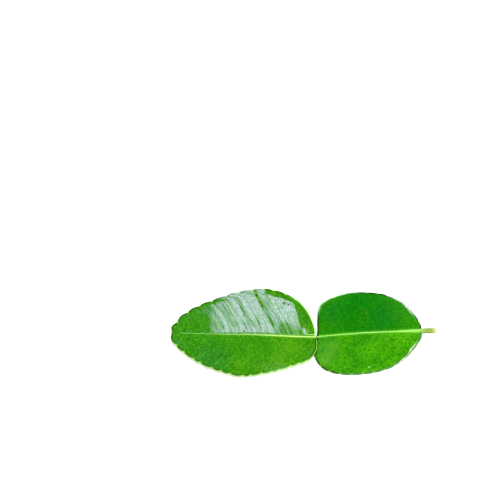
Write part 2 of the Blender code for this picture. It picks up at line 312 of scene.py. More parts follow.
def blade_pale_rim(side, shares):
    """How much painted highlight the edge carries: most on the far side by the joint, where the edges that
    meet are thin, and a little on the near side.
    """
    if side > 0:
        return 1.0 - ease(0.2, 0.32, shares)
    return 0.3 * ease(0.1, 0.18, shares) * (1.0 - ease(0.38, 0.5, shares))


def blade_edge_roll(side, along, rim, distance):
    """How far the blade's edge is rolled down: gently, on the far side by the joint."""
    if side < 0:
        return 0.0
    by_joint = (1.0 - ease(0.26, 0.38, along)) * ease(0.8, 3.6, distance)
    rolled_width = 7.2 - 4.9 * ease(0.09, 0.17, along)
    inside = np.clip(rolled_width - rim, 0.0, None)
    return 0.06 * by_joint * inside ** 2 / (inside + 0.4)


def blade_dull(side, start, along, across, rim):
    """How dull the skin is, by where the side vein through each place starts."""
    if side < 0:
        return np.full(start.shape, 0.6)
    bands = [strength * np.exp(-((start - at) / width) ** 2) for at, width, strength in DULL_VEINS]
    by_midrib = 0.75 * (1.0 - ease(15.0, 20.0, start)) * (1.0 - ease(0.12, 0.42, across))
    beside_midrib = 0.8 * (1.0 - ease(0.03, 0.08, across))
    outer = 0.93 * ease(-6.0, 3.5, start - 49.5 + 5.0 * ease(0.4, 0.85, across))
    far_corner = ease(0.8, 0.95, across) * ease(30.0, 36.0, start)
    rolled = 1.0 - ease(-0.4, 0.4, rim - np.interp(along, *np.transpose(DULL_BAND)))
    dull = np.maximum.reduce([band * ease(0.1, 0.25, across) for band in bands]
                             + [by_midrib, beside_midrib, outer, far_corner, rolled])
    pool_of_wax = np.exp(-((along - 0.075) / 0.022) ** 4 - ((across - 0.16) / 0.09) ** 4)
    return dull * (1.0 - pool_of_wax)


def smooth_curve(points, steps=12):
    """A smooth curve through the points, as many short chords."""
    ends = np.array([points[0], *points, points[-1]])
    t = np.linspace(0.0, 1.0, steps, endpoint=False)[:, None]
    parts = [
        0.5 * (2.0 * b + (c - a) * t + (2.0 * a - 5.0 * b + 4.0 * c - d) * t ** 2
               + (3.0 * b - a - 3.0 * c + d) * t ** 3)
        for a, b, c, d in zip(ends, ends[1:], ends[2:], ends[3:])
    ]
    return np.concatenate(parts + [ends[-1:]])


def margin_lines(organ, side, shares):
    """At shares of a margin's length: its smooth points, its notched points and how near a notch is."""
    curve = smooth_curve(organ["margins"][side])
    scallops = organ["scallops"][side]
    lengths = np.concatenate([[0.0], np.cumsum(np.hypot(*np.diff(curve, axis=0).T))])
    total = lengths[-1]
    last_notch = total - scallops["last"]
    by_joint, outer = scallops["lengths"]
    notches = [0.0]
    while notches[-1] < last_notch:
        pitch = by_joint + (outer - by_joint) * float(ease(0.4, 0.6, notches[-1] / total))
        pitch *= 1.0 + scallops["sway"] * math.sin(SWAY_TURN * len(notches))
        notches.append(notches[-1] + pitch)
    notches = np.array([notch * last_notch / notches[-1] for notch in notches] + [total])
    wanted = shares * total
    smooth = np.stack([np.interp(wanted, lengths, values) for values in curve.T], axis=1)
    direction = np.gradient(smooth, axis=0)
    direction /= np.maximum(np.hypot(*direction.T), 1e-9)[:, None]
    scallop = np.clip(np.searchsorted(notches, wanted, side="right") - 1, 0, len(notches) - 2)
    width = np.diff(notches)[scallop]
    phase = (wanted - notches[scallop]) / width
    fade = ease(0.08, 0.22, shares)
    depth = np.interp(shares, (0.0, 1.0), scallops["depths"])
    pull = (fade * depth * (1.0 - np.sin(math.pi * phase)))[:, None]
    notched = smooth + pull * np.stack([direction[:, 1], -direction[:, 0]], axis=1)
    notched[0], notched[-1] = smooth[0], smooth[-1]
    near_notch = fade * np.exp(-(np.minimum(phase, 1.0 - phase) * width / NOTCH_REACH) ** 2)
    return on_leaf(smooth, organ, side), on_leaf(notched, organ, side), near_notch


def margin_reach(organ, side):
    """The margin as distances from the joint, which only rise, and distances from the midrib."""
    curve = smooth_curve(organ["margins"][side])
    widest = np.argmax(curve[:, 1])
    rising = np.maximum.accumulate(curve[:widest + 1, 0])
    return np.concatenate([rising, curve[widest + 1:, 0]]), curve[:, 1]


def vein_lean(across):
    """The angle between side veins and midrib, which lessens towards the margin."""
    return np.radians(68.0 - 14.0 * across - 42.0 * ease(0.74, 0.95, across))


def vein_starts(along, distance, organ, side):
    """How far from the joint a side vein through each place would start."""
    reach, out = margin_reach(organ, side)
    width = np.maximum(np.interp(along, reach, out), 0.5)
    shares = np.linspace(0.0, 1.0, 200)
    drift = np.concatenate([[0.0], np.cumsum(np.diff(shares) / np.tan(vein_lean(shares[1:])))])
    return along - organ["outward"] * width * np.interp(distance / width, shares, drift)


def side_veins(organ, side):
    """Side veins as lines of X and Y, which arch along the margin."""
    reach, out_at = margin_reach(organ, side)
    veins = []
    for number, start in enumerate(organ["veins"][side]):
        line = [(start, 0.0)]
        for _ in range(90):
            along, out = line[-1]
            across = out / max(np.interp(along, reach, out_at), 0.5)
            if across > VEIN_END or not 0.0 < along < reach.max():
                break
            lean = vein_lean(across) + math.radians(4.0) * math.sin(2.3 * number)
            along += organ["outward"] * VEIN_STEP * math.cos(lean)
            line.append((along, out + VEIN_STEP * math.sin(lean)))
        veins.append(on_leaf(np.array(line), organ, side))
    return veins


def on_leaf(flat, organ, side):
    """Points of (distance from joint, distance from midrib) as X and Y of the leaf."""
    x = organ["direction"] * flat[..., 0]
    return np.stack([x, midrib_sideways(x) + side * flat[..., 1]], axis=-1)


def away_from(places, line):
    """Distance from each place to a line of points."""
    nearest = np.full(places.shape[:-1], FAR_AWAY)
    for start, end in zip(line, line[1:]):
        span = end - start
        part = np.clip(((places - start) @ span) / max(span @ span, 1e-9), 0.0, 1.0)
        nearest = np.minimum(nearest, np.hypot(*np.moveaxis(places - start - part[..., None] * span, -1, 0)))
    return nearest


def vein_marks(places, veins):
    """How much each place lies on a vein, and how far it lies between veins."""
    mark = np.zeros(places.shape[:-1])
    nearest = np.full(places.shape[:-1], FAR_AWAY)
    for number, line in enumerate(veins):
        for index in range(len(line) - 1):
            away = away_from(places, line[index:index + 2])
            strength = VEIN_WEIGHTS[number % 2] * (1.0 - 0.65 * index / len(line))
            mark = np.maximum(mark, strength * np.exp(-(away / VEIN_WIDTH) ** 2))
            nearest = np.minimum(nearest, away)
    return mark, 1.0 - np.exp(-(nearest / 1.8) ** 2)


def spots(places, listed, sharpness):
    """How much each place lies on one of the spots, listed as (x, y, radius)."""
    mark = np.zeros(places.shape[:-1])
    for x, y, radius in listed:
        away = np.hypot(places[..., 0] - x, places[..., 1] - y)
        mark = np.maximum(mark, np.exp(-(away / radius) ** sharpness))
    return mark


def half_sheet(side, organ):
    """Places and marks of one half of an organ, as grids of rows by columns."""
    shares = np.linspace(0.0, 1.0, organ["rows"] + 1)
    across = 1.0 - (1.0 - np.linspace(0.0, 1.0, SHEET_COLUMNS + 1)) ** 1.35
    smooth, notched, notch = margin_lines(organ, side, shares)
    inner_x = organ["midrib"](shares)
    inner = np.stack([inner_x, midrib_sideways(inner_x)], axis=1)
    flat = inner[:, None] + (smooth - inner)[:, None] * across[None, :, None]
    flat += (notched - smooth)[:, None] * ease(0.8, 1.0, across)[None, :, None]
    distance = np.abs(flat[..., 1] - midrib_sideways(flat[..., 0]))
    out_share = np.broadcast_to(across, distance.shape)
    along = np.abs(flat[..., 0]) / organ["length"]
    height = midrib_height(flat[..., 0]) + organ["rise"](side, along, out_share, distance)
    rim = away_from(flat, notched[::4])
    height -= organ["edge_roll"](side, along, rim, distance)
    vein, between = vein_marks(flat, side_veins(organ, side))
    inside = 1.0 - out_share ** 6
    start = vein_starts(along * organ["length"], distance, organ, side)
    marks = {
        "vein_start": start,
        "out": distance,
        "dull": organ["dull"](side, start, along, out_share, rim),
        "halo": organ["halo"](along, distance),
        "pale_rim": np.broadcast_to(organ["pale_rim"](side, shares)[:, None], distance.shape),
        "vein": vein * inside * ease(0.0, 0.8, distance),
        "between": between * inside * ease(0.0, 2.0, distance),
        "rim": rim,
        "notch": organ["bead_paint"] * notch[:, None] * np.exp(-(rim / 0.6) ** 2),
        "along": along,
        "far": np.full(distance.shape, float(side > 0)),
    }
    for kind, (strength, sharpness) in SPOT_KINDS.items():
        marks[kind] = strength * spots(flat, organ["spots"][kind], sharpness)
    return flat, height, marks


def set_mark(mesh, name, values, domain="POINT"):
    """A mark on a mesh's points or faces, which its tree and its material read."""
    mesh.attributes.new(name, "FLOAT", domain).data.foreach_set("value", values)


def in_metres(points):
    """Points of the leaf, in millimetres from the joint, as places in the scene."""
    return (np.array(points) * MM + np.array(JOINT_PLACE)).tolist()


def organ_sheet(name, organ):
    """The closed thin mesh of an organ, with its marks as attributes of its points."""
    points, faces, marks, under = [], [], {}, []
    for side in (1, -1):
        flat, height, side_marks = half_sheet(side, organ)
        thick = np.ones(height.shape)
        thick[0] = thick[-1] = thick[:, -1] = 0.0
        for lower in (False, True):
            start = sum(len(part) for part in points)
            offset = -LAMINA_BELOW if lower else LAMINA_ABOVE
            middle = (LAMINA_ABOVE - LAMINA_BELOW) / 2
            level = height + middle + (offset - middle) * thick
            points.append(np.concatenate([flat, level[..., None]], axis=-1).reshape(-1, 3))
            for mark, values in side_marks.items():
                marks.setdefault(mark, []).append(values.ravel())
            index = start + np.arange(height.size).reshape(height.shape)
            quads = np.stack([index[:-1, :-1], index[1:, :-1], index[1:, 1:], index[:-1, 1:]], axis=-1)
            faces.append(quads.reshape(-1, 4))
            under += [lower] * len(faces[-1])
    mesh = bpy.data.meshes.new(name)
    mesh.from_pydata(in_metres(np.concatenate(points)), [], np.concatenate(faces).tolist())
    for mark, values in marks.items():
        set_mark(mesh, mark, np.concatenate(values))
    set_mark(mesh, "under", np.array(under, float), "FACE")
    built = bmesh.new()
    built.from_mesh(mesh)
    bmesh.ops.remove_doubles(built, verts=built.verts, dist=0.002 * MM)
    bmesh.ops.recalc_face_normals(built, faces=built.faces)
    built.to_mesh(mesh)
    built.free()
    return mesh


SHAPE = {"Geometry": "Geometry"}


def new_tree(name, inputs, outputs=SHAPE, kind="GeometryNodeTree"):
    """A tree with these sockets, listed with their kinds, and its input and output nodes."""
    tree = bpy.data.node_groups.new(name, kind)
    for in_out, sockets in (("OUTPUT", outputs), ("INPUT", inputs)):
        for label, socket in sockets.items():
            tree.interface.new_socket(label, in_out=in_out, socket_type="NodeSocket" + socket)
    return tree, tree.nodes.new("NodeGroupInput").outputs, tree.nodes.new("NodeGroupOutput").inputs


def marked(tree, name):
    """A named attribute inside a Geometry Nodes tree."""
    return add(tree, "GeometryNodeInputNamedAttribute", {"Name": name}).outputs["Attribute"]


def made_by(tree, name, mesh, values):
    """A plain mesh object: what the tree makes of the mesh with these input values."""
    piece = in_scene(name, mesh)
    modifier = piece.modifiers.new(tree.name, "NODES")
    modifier.node_group = tree
    for socket in tree.interface.items_tree:
        if socket.in_out == "INPUT" and socket.name in values:
            modifier[socket.identifier] = values[socket.name]
    graph = bpy.context.evaluated_depsgraph_get()
    plain = bpy.data.meshes.new_from_object(
        piece.evaluated_get(graph), preserve_all_data_layers=True, depsgraph=graph)
    piece.modifiers.remove(modifier)
    piece.data = plain
    plain.name = name
    plain.shade_smooth()
    return piece


def times(tree, first, second):
    """The product of two numbers or sockets."""
    return counted(tree, "MULTIPLY", first, second)


def coated(tree, shape, finish):
    """The last steps of a tree: real geometry with its material."""
    real = add(tree, "GeometryNodeRealizeInstances", {"Geometry": shape})
    return add(tree, "GeometryNodeSetMaterial", {"Geometry": real.outputs[0], "Material": finish}).outputs[0]


relief, given, result = new_tree("vein_relief", {
    **SHAPE, "Groove Depth": "Float", "Ridge Height": "Float", "Swell": "Float", "Ripple": "Float",
    "Ripple Scale": "Float", "Upper Finish": "Material", "Lower Finish": "Material",
})
under = marked(relief, "under")
groove = times(relief, marked(relief, "vein"), given["Groove Depth"])
ridge = times(relief, marked(relief, "vein"), given["Ridge Height"])
sunk = add(relief, "ShaderNodeMix", {0: under, 2: groove, 3: ridge}, data_type="FLOAT").outputs[0]
swell = times(relief, marked(relief, "between"), given["Swell"])
flat_place = add(relief, "GeometryNodeInputPosition").outputs[0]
ripple = noise(relief, flat_place, given["Ripple Scale"], 2.0)
ripple = times(relief, counted(relief, "SUBTRACT", ripple, 0.5), given["Ripple"])
lift = counted(relief, "ADD", counted(relief, "SUBTRACT", swell, sunk), ripple)
old_place = add(relief, "ShaderNodeSeparateXYZ", {0: flat_place}).outputs
new_height = counted(relief, "MAXIMUM", counted(relief, "ADD", old_place["Z"], lift), 0.0)
new_place = add(relief, "ShaderNodeCombineXYZ", {
    "X": old_place["X"], "Y": old_place["Y"], "Z": new_height,
})
shaped = add(relief, "GeometryNodeSetPosition", {
    "Geometry": given["Geometry"], "Position": new_place.outputs[0],
})
is_under = add(relief, "FunctionNodeCompare", {0: under, 1: 0.5}, operation="GREATER_THAN")
lower = add(relief, "GeometryNodeSetMaterial", {
    "Geometry": coated(relief, shaped.outputs[0], given["Upper Finish"]),
    "Selection": is_under.outputs[0], "Material": given["Lower Finish"],
})
relief.links.new(lower.outputs[0], result["Geometry"])


def new_group(name, inputs, outputs):
    """A shader node group: its inputs are a place and numbers, and its outputs are numbers."""
    numbers = dict.fromkeys(inputs, "Float")
    return new_tree(name, {"Place": "Vector", **numbers}, dict.fromkeys(outputs, "Float"), "ShaderNodeTree")


def placed(tree, group, *values):
    """The outputs of a node group in a material, with values in the order of its inputs."""
    return add(tree, "ShaderNodeGroup", dict(enumerate(values)), node_tree=group).outputs


oil_glands, given, result = new_group("oil_glands", ["Per Metre", "Size"], ["Dots"])
cells = add(oil_glands, "ShaderNodeTexVoronoi", {"Vector": given["Place"], "Scale": given["Per Metre"]})
dots = faded(oil_glands, cells.outputs["Distance"], given["Size"], 0.08)
oil_glands.links.new(dots, result["Dots"])

net_veins, given, result = new_group("net_veins", ["Per Metre", "Width"], ["Lines"])
bent = add(net_veins, "ShaderNodeTexNoise", {"Vector": given["Place"], "Scale": 900.0}).outputs["Color"]
bent_place = add(net_veins, "ShaderNodeMix", {0: 0.0006, 4: given["Place"], 5: bent}, data_type="VECTOR")
cells = add(net_veins, "ShaderNodeTexVoronoi", {
    "Vector": bent_place.outputs[1], "Scale": given["Per Metre"],
}, feature="DISTANCE_TO_EDGE")
lines = faded(net_veins, cells.outputs["Distance"], given["Width"], 0.0)
net_veins.links.new(lines, result["Lines"])

mottle, given, result = new_group("mottle", ["Per Metre", "Contrast"], ["Patches", "Grain"])
patches = noise(mottle, given["Place"], given["Per Metre"], 4.0)
spread = times(mottle, counted(mottle, "SUBTRACT", patches, 0.5), given["Contrast"])
mottle.links.new(counted(mottle, "ADD", spread, 0.5, clamp=True), result["Patches"])
grain = noise(mottle, given["Place"], times(mottle, given["Per Metre"], 25.0), 2.0)
mottle.links.new(grain, result["Grain"])

vein_streaks, given, result = new_group("vein_streaks", ["Per Millimetre"], ["Streaks"])
streaks = noise(vein_streaks, given["Place"], given["Per Millimetre"], 3.0)
vein_streaks.links.new(streaks, result["Streaks"])


PATCHES_PER_METRE = 110.0
PEBBLES_PER_METRE = 950.0
NET_CELLS_PER_METRE = 480.0
STREAKS_PER_MM = 0.9


def paint(red, green, blue):
    """A colour from its screen values, 0 to 255."""
    shares = [value / 255.0 for value in (red, green, blue)]
    linear = [share / 12.92 if share < 0.04045 else ((share + 0.055) / 1.055) ** 2.4 for share in shares]
    return (*linear, 1.0)


def paints(**tints):
    """Colours from their screen values, by name."""
    return {name: paint(*tint) for name, tint in tints.items()}


def attribute(tree, name):
    """A mark on the piece's points, read by its material."""
    return add(tree, "ShaderNodeAttribute", attribute_name=name).outputs["Fac"]


def leaf_finish(name, colours, roughness=0.45, gloss=0.94, rim_wax=0.0, rim_shade_width=1.25, rim_highlight_width=0.9,
                edge_highlight_share=0.6, end_share=1.0):
    """The skin of an organ: mottled green with glands, net veins and side veins, painted shade along the rim,
    and painted sheen and highlights in places.
    """
    material, tree, place = new_material(name)
    along, far, rim, pale, speck, pit_and_shade = (
        attribute(tree, mark) for mark in ("along", "far", "rim", "pale_rim", "speck", "pit_and_shade"))
    patches = placed(tree, mottle, place, PATCHES_PER_METRE, 3.0)
    pebbles = placed(tree, mottle, place, PEBBLES_PER_METRE, 2.2)["Patches"]
    dots = placed(tree, oil_glands, place, PEBBLES_PER_METRE, 0.5)["Dots"]
    lines = placed(tree, net_veins, place, NET_CELLS_PER_METRE, 0.12)["Lines"]
    streak_place = add(tree, "ShaderNodeCombineXYZ", {
        "X": attribute(tree, "vein_start"), "Y": times(tree, attribute(tree, "out"), 0.12),
        "Z": times(tree, far, 9.0),
    }).outputs[0]
    streaks = placed(tree, vein_streaks, streak_place, STREAKS_PER_MM)["Streaks"]
    # Painted shade along the rim, where the edge curls away from the light; it gives way where the edge
    # carries a painted highlight.
    rim_shade = times(tree, faded(tree, rim, rim_shade_width, 0.4, 0.0, 0.95), counted(tree, "SUBTRACT", 1.0, pale))
    # Each half takes its own green; on the wings the far green is much darker, painted shade.
    colour = blended(tree, far, colours["near"], colours["far"])
    for tint, share in (
        ("end", times(tree, faded(tree, along, 0.45, 0.95), end_share)),
        ("base", faded(tree, along, 0.4, 0.0, 0.0, 0.6)),
        # painted sheen: cool bluish patches
        ("cool", attribute(tree, "cool")),
        ("olive", attribute(tree, "olive")),
        ("patch", times(tree, patches["Patches"], 0.65)),
        ("net", faded(tree, pebbles, 0.3, 0.8, 0.0, 0.65)),
        ("vein", faded(tree, streaks, 0.45, 0.75, 0.0, 0.28)),
        ("gland", times(tree, dots, 0.4)),
        ("net", times(tree, lines, 0.2)),
        ("vein", times(tree, attribute(tree, "vein"), 0.08)),
        # painted sheen: lighter patches
        ("light", attribute(tree, "light")),
        ("midrib", attribute(tree, "halo")),
        # painted shade along the rim
        ("rim", rim_shade),
        # painted highlight on the edge
        ("pale_rim", times(tree, faded(tree, rim, rim_highlight_width, 0.55 * rim_highlight_width), pale)),
        # painted highlight: a thin pale line along the very edge
        ("notch", faded(tree, rim, 0.4, 0.15, 0.0, edge_highlight_share)),
        ("notch", attribute(tree, "notch")),
        ("speck", speck),
        # dark pits: the wound's pits and a pore, and painted shade in the cleft by the joint
        ("rim", pit_and_shade),
    ):
        colour = blended(tree, share, colour, colours[tint])
    height = times(tree, pebbles, 0.06)
    for mark, depth in ((patches["Grain"], 0.02), (dots, -0.016), (lines, -0.012), (streaks, 0.05)):
        height = counted(tree, "ADD", height, times(tree, mark, depth))
    rough = counted(tree, "ADD", times(tree, patches["Grain"], 0.08), roughness - 0.04)
    dulled = counted(tree, "MAXIMUM", counted(tree, "MAXIMUM", speck, pit_and_shade), attribute(tree, "dull"))
    streaked = times(tree, faded(tree, streaks, 0.4, 0.72, -0.04, 0.72), faded(tree, far, 0.0, 1.0, 0.2, 1.0))
    dulled = counted(tree, "ADD", dulled, streaked, clamp=True)
    wax = times(tree, counted(tree, "SUBTRACT", 1.0, dulled), gloss)
    grain = faded(tree, pebbles, 0.1, 0.7, 0.5, 1.05)
    by_stub = times(tree, faded(tree, along, 0.66, 0.74), faded(tree, along, 0.96, 0.9))
    rim_gloss = times(tree, faded(tree, rim, 1.8, 1.0, 0.0, rim_wax), by_stub)
    finish_material(tree, {
        "Base Color": colour, "Roughness": rough, "IOR": 1.45, "Specular IOR Level": 0.012,
        "Coat Roughness": 0.12,
        "Coat Weight": counted(tree, "MAXIMUM", times(tree, wax, grain), rim_gloss, clamp=True),
    }, height)
    return material


BLADE_GREENS = paints(
    near=(52, 130, 3), far=(46, 122, 5), end=(48, 126, 14), base=(76, 146, 3), cool=(32, 102, 42),
    olive=(78, 134, 10), light=(84, 142, 14), patch=(26, 104, 2), gland=(92, 172, 14), net=(12, 86, 2),
    vein=(84, 156, 30), midrib=(130, 188, 50), rim=(24, 52, 6), pale_rim=(182, 242, 146),
    notch=(165, 232, 84), speck=(66, 130, 2))
UNDER_GREENS = paints(
    near=(96, 140, 66), far=(96, 140, 66), end=(90, 134, 62), base=(102, 144, 68), cool=(84, 130, 62),
    olive=(106, 138, 62), light=(106, 148, 74), patch=(80, 124, 52), gland=(64, 112, 38),
    net=(118, 156, 84), vein=(130, 164, 92), midrib=(136, 168, 92), rim=(60, 94, 30),
    pale_rim=(140, 170, 90), notch=(150, 170, 80), speck=(70, 70, 30))
UNDER_SKIN = dict(roughness=0.6, gloss=0.05, rim_shade_width=1.15, rim_highlight_width=0.75)
blade_upper = leaf_finish("blade_upper_skin", BLADE_GREENS)
blade_lower = leaf_finish("blade_lower_skin", UNDER_GREENS, **UNDER_SKIN)


def blade_midrib_x(share):
    """X of the midrib at a share of the blade's rows, which are closer together by the joint."""
    bunched = (1.0 - ROW_BUNCHING) * share + ROW_BUNCHING * share ** 2
    return -HALF_GAP - (TIP_DENT - HALF_GAP) * bunched


BLADE = dict(
    margins=BLADE_MARGINS, scallops=BLADE_SCALLOPS, veins=BLADE_VEINS, outward=1.0, direction=-1,
    length=BLADE_LENGTH, rows=BLADE_ROWS, midrib=blade_midrib_x, rise=blade_rise,
    edge_roll=blade_edge_roll, halo=blade_halo, pale_rim=blade_pale_rim, dull=blade_dull,
    spots=BLADE_SPOTS, bead_paint=1.0)
blade = made_by(relief, "blade_sheet", organ_sheet("blade_sheet", BLADE), {
    "Groove Depth": 0.045 * MM, "Ridge Height": 0.1 * MM, "Swell": 0.1 * MM, "Ripple": 0.2 * MM,
    "Ripple Scale": 110.0, "Upper Finish": blade_upper, "Lower Finish": blade_lower,
})
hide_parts("leaf_blade")
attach(blade, "root")


# The two wings of the leaf's stalk, left and right of it: one sheet of the same tissue as the blade,
# grown together with the stalk. They arch down to the table on both sides.
WING_MARGINS = {
    1: [(0.17, 0.5), (0.5, 4.5), (0.7, 12.0), (1.7, 17.8), (4.9, 21.1), (10.0, 23.4), (17.5, 25.1),
        (28.0, 24.1), (36.0, 21.5), (43.0, 17.2), (48.2, 10.6), (50.5, 5.0), (51.0, 1.1)],
    -1: [(-0.25, 0.5), (-0.5, 3.6), (-0.8, 7.2), (-1.4, 9.4), (-0.8, 12.0), (1.2, 15.7), (4.3, 18.3),
         (9.5, 20.3), (17.0, 21.2), (27.0, 20.4), (35.5, 17.8), (42.5, 13.0), (48.0, 6.9), (50.4, 3.4),
         (51.0, 1.1)],
}
WING_SCALLOPS = dict(lengths=(5.5, 5.5), sway=0.0, depths=(0.12, 0.12), last=5.5)
WING_VEINS = {
    1: (5.0, 10.0, 15.5, 20.5, 26.0, 31.0, 36.0, 41.0, 45.5),
    -1: (6.0, 11.0, 16.0, 21.5, 27.0, 32.0, 37.0, 41.5, 46.0),
}
# On the wings: a pore on the far wing, and a chain of dark pits along the blade's edge by the joint that is
# painted shade in the cleft between blade and wing. The cool patches and the lighter patches by the joint are
# painted sheen; the olive patches are the leaf's own tone.
WING_SPOTS = {
    "speck": ((24.7, -16.2, 0.4),),
    "pit_and_shade": ((18.0, 17.0, 0.3), (0.4, -1.2, 0.4), (0.55, -2.0, 0.3), (0.1, -7.6, 0.3), (-0.15, -8.4, 0.4),
            (-0.5, -9.2, 0.4)),
    "cool": ((8.0, 14.0, 7.0), (32.0, 10.0, 8.0)),
    "olive": ((24.0, 12.0, 3.0), (22.5, 7.0, 4.0)),
    "light": ((7.0, -5.5, 3.2), (5.8, -9.5, 3.0), (3.8, -13.0, 2.6)),
}
WING_ROWS = 240
FAR_TOUCH = 0.2
NEAR_TOUCH = 0.42
MOST_MARGIN_LIFT = 2.0
WING_LOBE = 12.0
CAD_LAMINA = 0.64


def wing_rise(side, along, across, distance):
    """Height of a wing over the midrib: it arches down, and its margin touches the surface once."""
    if side > 0:
        margin_lift = 9.0 * (along - FAR_TOUCH) ** 2
        profile = across ** 2.6
    else:
        margin_lift = 4.0 * (along - NEAR_TOUCH) ** 2
        profile = 0.8 * across + 0.2 * across ** 3
    drop = midrib_height(along * WING_LENGTH) - CAD_LAMINA / 2 - np.minimum(margin_lift, MOST_MARGIN_LIFT)
    return -drop * profile * ease(-4.0, WING_LOBE, distance)


def wing_halo(along, distance):
    """How pale the wings are beside the stalk: in a band that widens towards the stub."""
    by_stub = ease(0.7, 0.95, along)
    return (0.5 + 0.1 * by_stub) * np.exp(-(distance / (0.7 + 0.5 * by_stub)) ** 2)


def wing_pale_rim(side, shares):
    """How much painted highlight the edge carries: by the joint on the far side, further out on the near one.
    """
    if side > 0:
        return 0.8 * ease(0.14, 0.22, shares) * (1.0 - ease(0.38, 0.52, shares))
    return 0.2 * ease(0.28, 0.42, shares)


def wing_edge_roll(side, along, rim, distance):
    """How far a wing's edge is rolled down: in a narrow band towards the stub."""
    by_stub = 0.12 * ease(0.5, 0.7, along)
    by_joint = 0.16 * (1.0 - ease(0.35, 0.6, along)) if side > 0 else 0.0
    return (by_stub + by_joint) * np.clip(1.0 - rim / 0.75, 0.0, 1.0) ** 2


def wing_dull(side, start, along, across, rim):
    """How dull the skin is: only the near wing is glossy, and only by the joint."""
    return 0.75 + 0.25 * ease(0.1, 0.24, along) if side < 0 else np.ones(along.shape)


def wing_midrib_x(share):
    """X of the midrib at a share of the wings' rows."""
    return HALF_GAP + (WING_LENGTH - HALF_GAP) * share


# The wings' greens. The far green is much darker than the near one: painted shade for the far half, which
# arches away from the light. The cool and light greens are painted sheen.
WING_GREENS = dict(BLADE_GREENS, **paints(
    near=(74, 158, 1), far=(1, 98, 1), end=(86, 164, 6), base=(66, 142, 2), cool=(8, 92, 22),
    olive=(50, 106, 3), light=(98, 157, 40), patch=(6, 102, 1), gland=(34, 160, 6), net=(4, 88, 1),
    vein=(34, 126, 10), midrib=(112, 190, 52), rim=(16, 50, 4), pale_rim=(128, 184, 118),
    speck=(150, 205, 110)))
WING_SKIN = dict(gloss=0.4, rim_wax=0.9, rim_shade_width=1.35, rim_highlight_width=1.15, edge_highlight_share=0.1, end_share=0.3)
WINGS = dict(
    margins=WING_MARGINS, scallops={1: WING_SCALLOPS, -1: WING_SCALLOPS}, veins=WING_VEINS,
    outward=-1.0, direction=1, length=WING_LENGTH, rows=WING_ROWS, midrib=wing_midrib_x, rise=wing_rise,
    edge_roll=wing_edge_roll, halo=wing_halo, pale_rim=wing_pale_rim, dull=wing_dull, spots=WING_SPOTS,
    bead_paint=0.5)
wing_upper = leaf_finish("wing_upper_skin", WING_GREENS, **WING_SKIN)
wing_lower = leaf_finish("wing_lower_skin", UNDER_GREENS, **UNDER_SKIN)
wings = made_by(relief, "wing_sheet", organ_sheet("wing_sheet", WINGS), {
    "Groove Depth": 0.025 * MM, "Ridge Height": 0.1 * MM, "Swell": 0.06 * MM, "Ripple": 0.12 * MM,
    "Ripple Scale": 110.0, "Upper Finish": wing_upper, "Lower Finish": wing_lower,
})
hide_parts("winged_petiole")
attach(wings, "root")


# The midrib and the stalk, the leaf's stiff strands. They are one growth with the sheet, half sunk in
# it: low and pale on top, standing out below, and thickest where the stalk was cut.
STRAND_START = 0.12
RIB_LENGTH = 66.4
STUB_END = 57.7
STRIPE_TURN = math.radians(28.0)
BLOTCHES_PER_METRE = 300.0
FIBRES_PER_METRE = 2500.0
# Brown of the rind on the cut face, and the painted shade on the stub's flanks.
STUB_BROWN_AND_SHADE = paint(92, 92, 24)
CUT_PALE = paint(200, 216, 110)
sweep, given, result = new_tree("swept_strand", {**SHAPE, "Sides": "Int", "Finish": "Material"})
line = add(sweep, "GeometryNodeMeshToCurve", {"Mesh": given["Geometry"]})
circle = add(sweep, "GeometryNodeCurvePrimitiveCircle", {"Resolution": given["Sides"], "Radius": 1.0})
swept = add(sweep, "GeometryNodeCurveToMesh", {
    "Curve": line.outputs[0], "Profile Curve": circle.outputs[0],
    "Scale": marked(sweep, "thickness"), "Fill Caps": True,
})
sweep.links.new(coated(sweep, swept.outputs[0], given["Finish"]), result["Geometry"])


def strand(name, lines, sides, finish):
    """Strands swept along open lines, which are lists of (x, y, z, radius) in millimetres."""
    points = np.concatenate(lines)
    starts = np.cumsum([0] + [len(part) for part in lines])
    edges = [(step, step + 1) for start, end in zip(starts, starts[1:]) for step in range(start, end - 1)]
    mesh = bpy.data.meshes.new(name)
    mesh.from_pydata(in_metres(points[:, :3]), edges, [])
    set_mark(mesh, "thickness", points[:, 3] * MM)
    set_mark(mesh, "along", np.concatenate([np.linspace(0.0, 1.0, len(part)) for part in lines]))
    return made_by(sweep, name, mesh, {"Sides": sides, "Finish": finish})


def places_of(mesh):
    """The places of a mesh's points."""
    places = np.zeros(len(mesh.vertices) * 3)
    mesh.vertices.foreach_get("co", places)
    return places.reshape(-1, 3)


